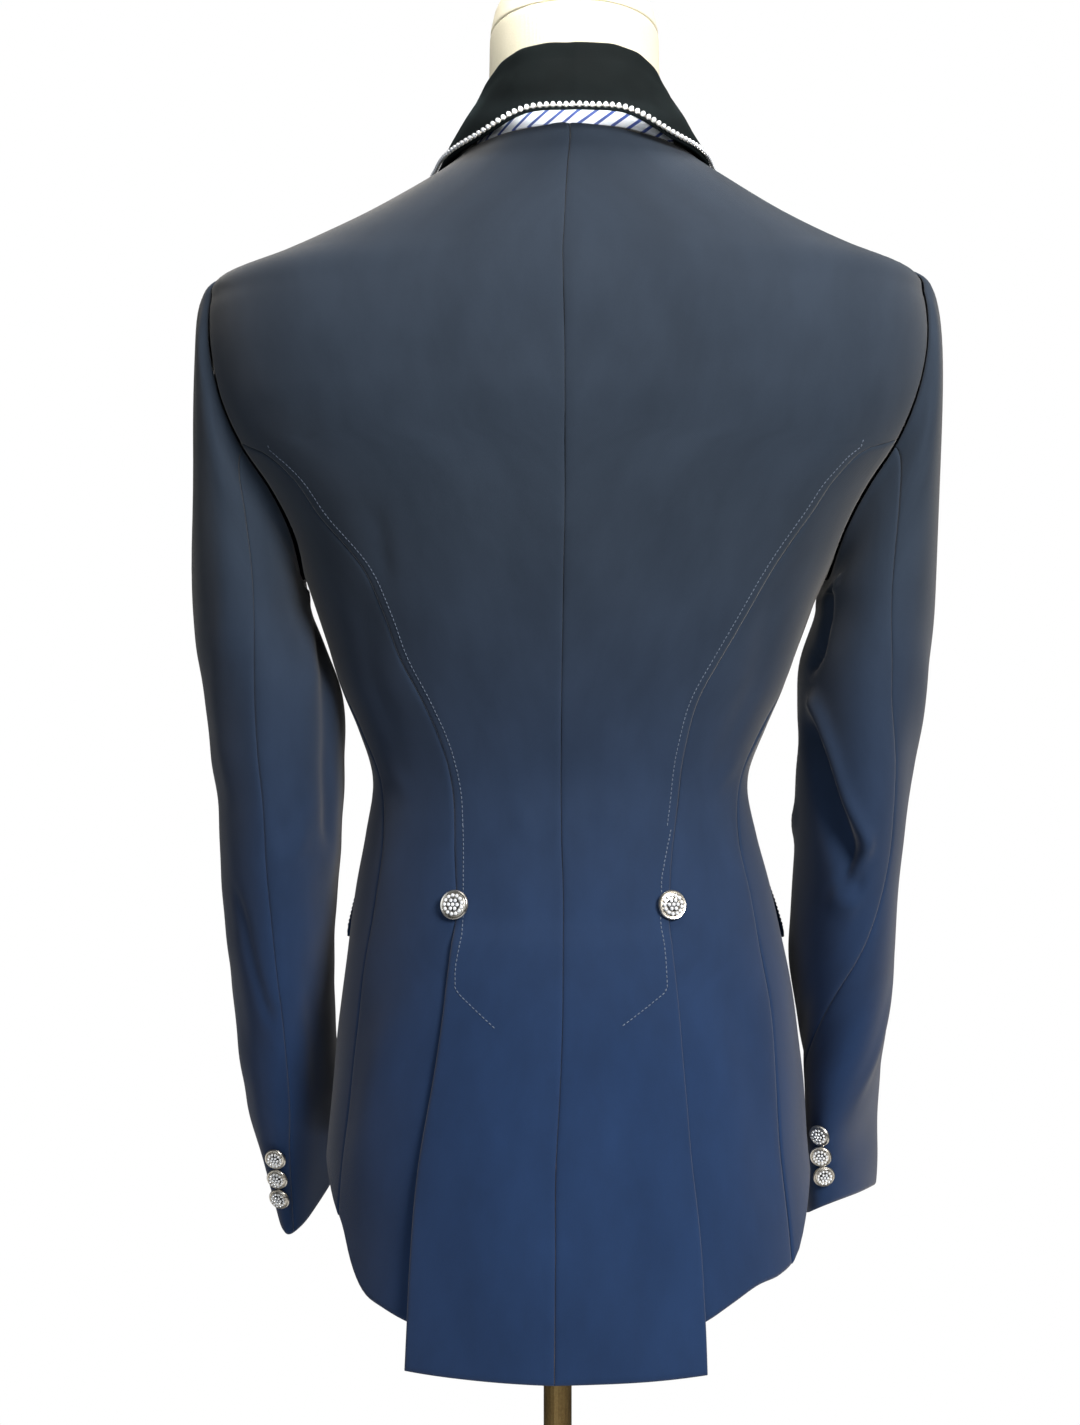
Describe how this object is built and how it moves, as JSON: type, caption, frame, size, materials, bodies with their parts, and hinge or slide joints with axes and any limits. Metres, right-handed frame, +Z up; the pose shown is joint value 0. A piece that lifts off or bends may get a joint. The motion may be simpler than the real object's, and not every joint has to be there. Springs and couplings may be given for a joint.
{
  "type": "tailored riding show coat on a dress form",
  "caption": "Fitted woman's riding coat with a velvet collar, curved back seams and a vented skirt, shown on a limbless dress form with a round stand.",
  "frame": {"origin": "On the stand's underside, below the middle of the coat.", "axes": "+Z up; the coat's front faces +Y and its back -Y; the wearer's right is +X."},
  "size_m": [0.4487, 0.34, 1.589],
  "materials": {
    "wool": "fine navy weave",
    "velvet": "near-black velvet",
    "satin": "pale blue satin with blue stripes",
    "crystal": "faceted clear stones",
    "buttons": "silver rims set with clear stones",
    "linen": "cream linen",
    "brass": "aged",
    "iron": "black"
  },
  "bodies": {
    "root": {"back_left": "wool", "back_right": "wool", "side_left": "wool", "side_right": "wool", "front_left": "wool", "front_right": "wool", "lapel_left": "wool", "lapel_right": "wool", "pocket_flap_left": "wool", "pocket_flap_right": "wool", "top_sleeve_left": "wool", "top_sleeve_right": "wool", "under_sleeve_left": "wool", "under_sleeve_right": "wool", "collar": "velvet", "collar_band": "satin", "crystal_chain": "crystal", "waist_button_left": "buttons", "cuff_button_left_1": "buttons", "cuff_button_left_2": "buttons", "cuff_button_left_3": "buttons", "waist_button_right": "buttons", "cuff_button_right_1": "buttons", "cuff_button_right_2": "buttons", "cuff_button_right_3": "buttons", "front_button_1": "buttons", "front_button_2": "buttons", "front_button_3": "buttons", "form_torso": "linen", "form_neck_cap": "linen", "pole_socket": "brass", "pole": "brass", "base": "iron", "base_ferrule": "iron"}
  },
  "joints": []
}
